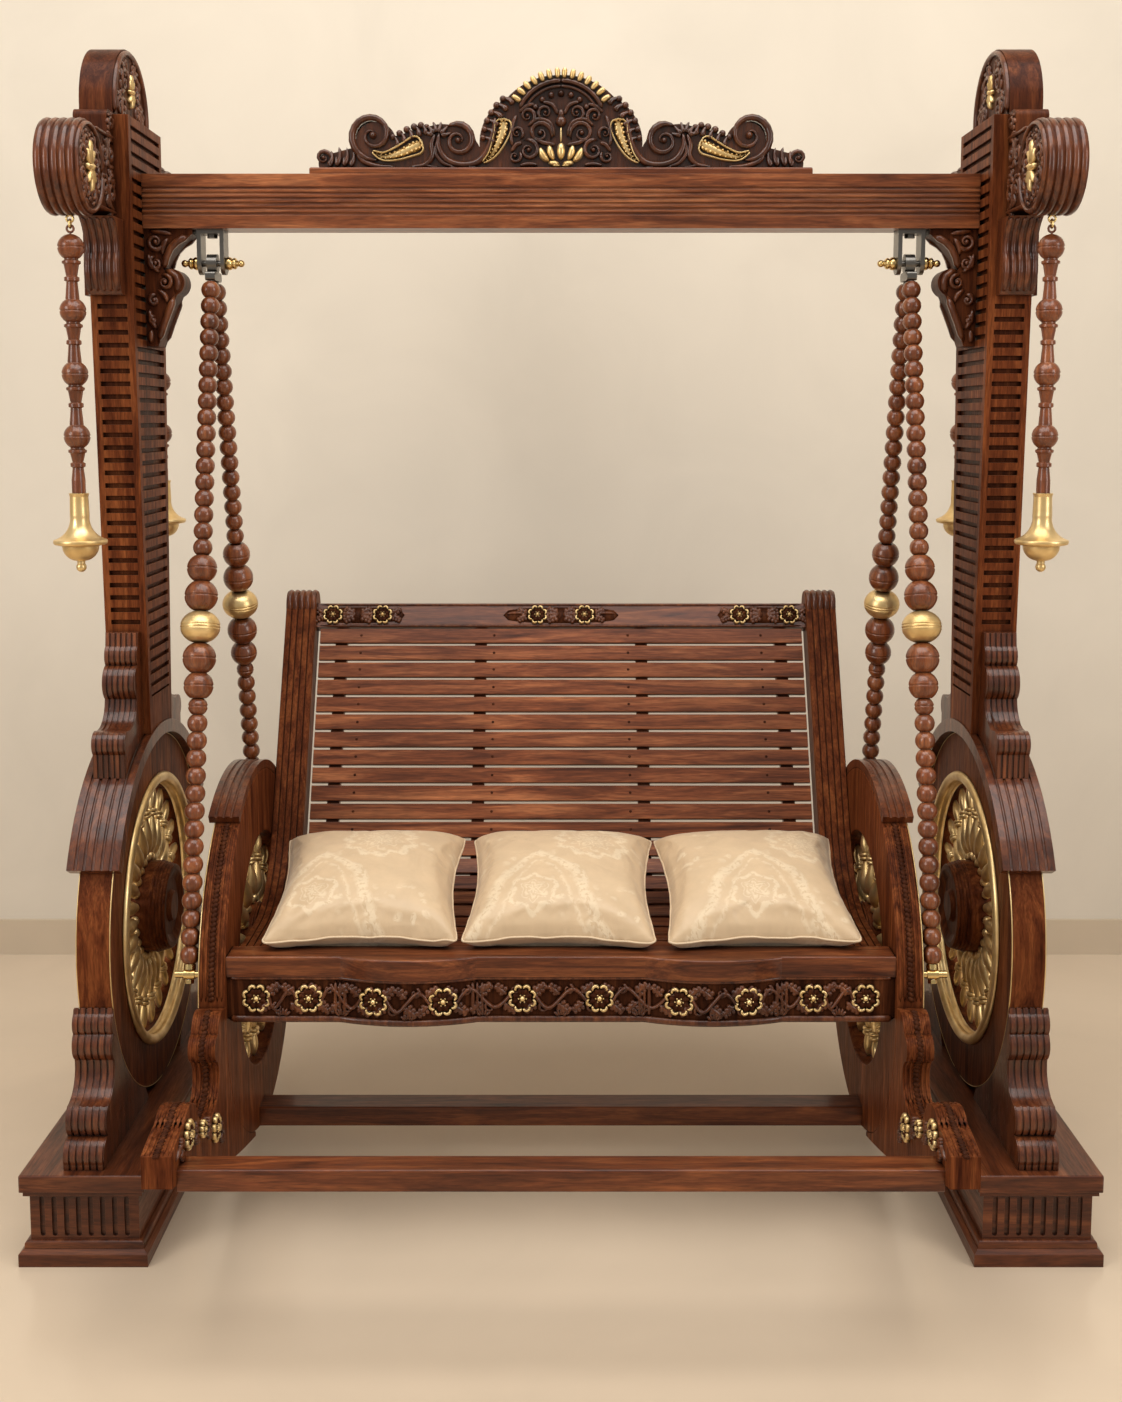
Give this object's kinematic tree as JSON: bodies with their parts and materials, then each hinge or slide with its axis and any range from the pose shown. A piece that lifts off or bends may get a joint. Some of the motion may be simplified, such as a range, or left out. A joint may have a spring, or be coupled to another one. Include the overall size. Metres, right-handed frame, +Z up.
{
  "type": "indoor swing",
  "caption": "Free-standing carved wooden bench swing hung on beaded rods from a crested beam between two wheel-shaped side frames, with hanging bells and cushions.",
  "frame": {"origin": "on the floor, in the middle of the whole swing's box, seen from above", "axes": "+Z up, -Y towards the person in front of the bench, X along the beam; the two sides mirror each other across X = 0"},
  "size_m": [1.93, 1.21, 2.1999],
  "materials": {
    "wood": "satin",
    "wood_light": "satin",
    "gilt": "satin",
    "brass": "polished",
    "steel": "satin",
    "damask": "satin"
  },
  "bodies": {
    "stand": {"plinth_left": "wood", "plinth_right": "wood", "plinth_tops": "wood", "stand_rim_left": "wood", "stand_rim_right": "wood", "stand_rings": "gilt", "stand_hubs": "wood", "stand_spokes": "gilt", "stand_fenders": "wood", "scroll_legs": "wood", "post_brackets": "wood", "post_left": "wood", "post_right": "wood", "head_left": "wood", "head_right": "wood", "corbels": "wood", "beam": "wood_light", "crest_board": "wood", "crest": "wood", "corner_brackets": "wood", "clevises": "steel", "hanger_bolts": "steel", "pivot_pins": "steel", "pin_knobs": "brass", "bell_hooks": "brass"},
    "swing": {"hanger_eyes": "steel", "hanger_rods": "steel", "small_beads": "wood", "large_beads": "wood", "gilt_balls": "gilt", "rod_fittings": "brass", "seat_rims": "wood", "seat_spokes": "gilt", "seat_hubs": "wood", "seat_fenders": "wood", "foot_arms": "wood", "foot_bar": "wood", "battens": "wood", "slats": "wood_light", "stiles": "wood", "top_rail": "wood", "cross_rails": "wood", "front_rail": "wood", "apron": "wood", "rosettes": "gilt", "cushion_left": "damask", "cushion_middle": "damask", "cushion_right": "damask"},
    "link_front_left": {"link_front_left": "brass"},
    "pendant_front_left": {"spindle_front_left": "wood", "bell_front_left": "gilt"},
    "link_front_right": {"link_front_right": "brass"},
    "pendant_front_right": {"spindle_front_right": "wood", "bell_front_right": "gilt"},
    "link_rear_left": {"link_rear_left": "brass"},
    "pendant_rear_left": {"spindle_rear_left": "wood", "bell_rear_left": "gilt"},
    "link_rear_right": {"link_rear_right": "brass"},
    "pendant_rear_right": {"spindle_rear_right": "wood", "bell_rear_right": "gilt"}
  },
  "joints": [
    {"name": "swing_hinge", "type": "hinge", "parent": "stand", "child": "swing", "pos_m": [0, 0.155, 1.8], "axis": [1, 0, 0], "range_deg": [-20, 20]},
    {"name": "link_swing_front_left", "type": "hinge", "parent": "stand", "child": "link_front_left", "pos_m": [-0.8595, -0.139, 1.8428], "axis": [1, 0, 0], "range_deg": [-25, 12]},
    {"name": "bell_sway_front_left", "type": "hinge", "parent": "link_front_left", "child": "pendant_front_left", "pos_m": [-0.8595, -0.139, 1.8316], "axis": [0, 1, 0], "range_deg": [-10, 10]},
    {"name": "link_swing_front_right", "type": "hinge", "parent": "stand", "child": "link_front_right", "pos_m": [0.8595, -0.139, 1.8428], "axis": [1, 0, 0], "range_deg": [-25, 12]},
    {"name": "bell_sway_front_right", "type": "hinge", "parent": "link_front_right", "child": "pendant_front_right", "pos_m": [0.8595, -0.139, 1.8316], "axis": [0, 1, 0], "range_deg": [-10, 10]},
    {"name": "link_swing_rear_left", "type": "hinge", "parent": "stand", "child": "link_rear_left", "pos_m": [-0.8595, 0.449, 1.8428], "axis": [1, 0, 0], "range_deg": [-12, 25]},
    {"name": "bell_sway_rear_left", "type": "hinge", "parent": "link_rear_left", "child": "pendant_rear_left", "pos_m": [-0.8595, 0.449, 1.8316], "axis": [0, 1, 0], "range_deg": [-10, 10]},
    {"name": "link_swing_rear_right", "type": "hinge", "parent": "stand", "child": "link_rear_right", "pos_m": [0.8595, 0.449, 1.8428], "axis": [1, 0, 0], "range_deg": [-12, 25]},
    {"name": "bell_sway_rear_right", "type": "hinge", "parent": "link_rear_right", "child": "pendant_rear_right", "pos_m": [0.8595, 0.449, 1.8316], "axis": [0, 1, 0], "range_deg": [-10, 10]}
  ]
}
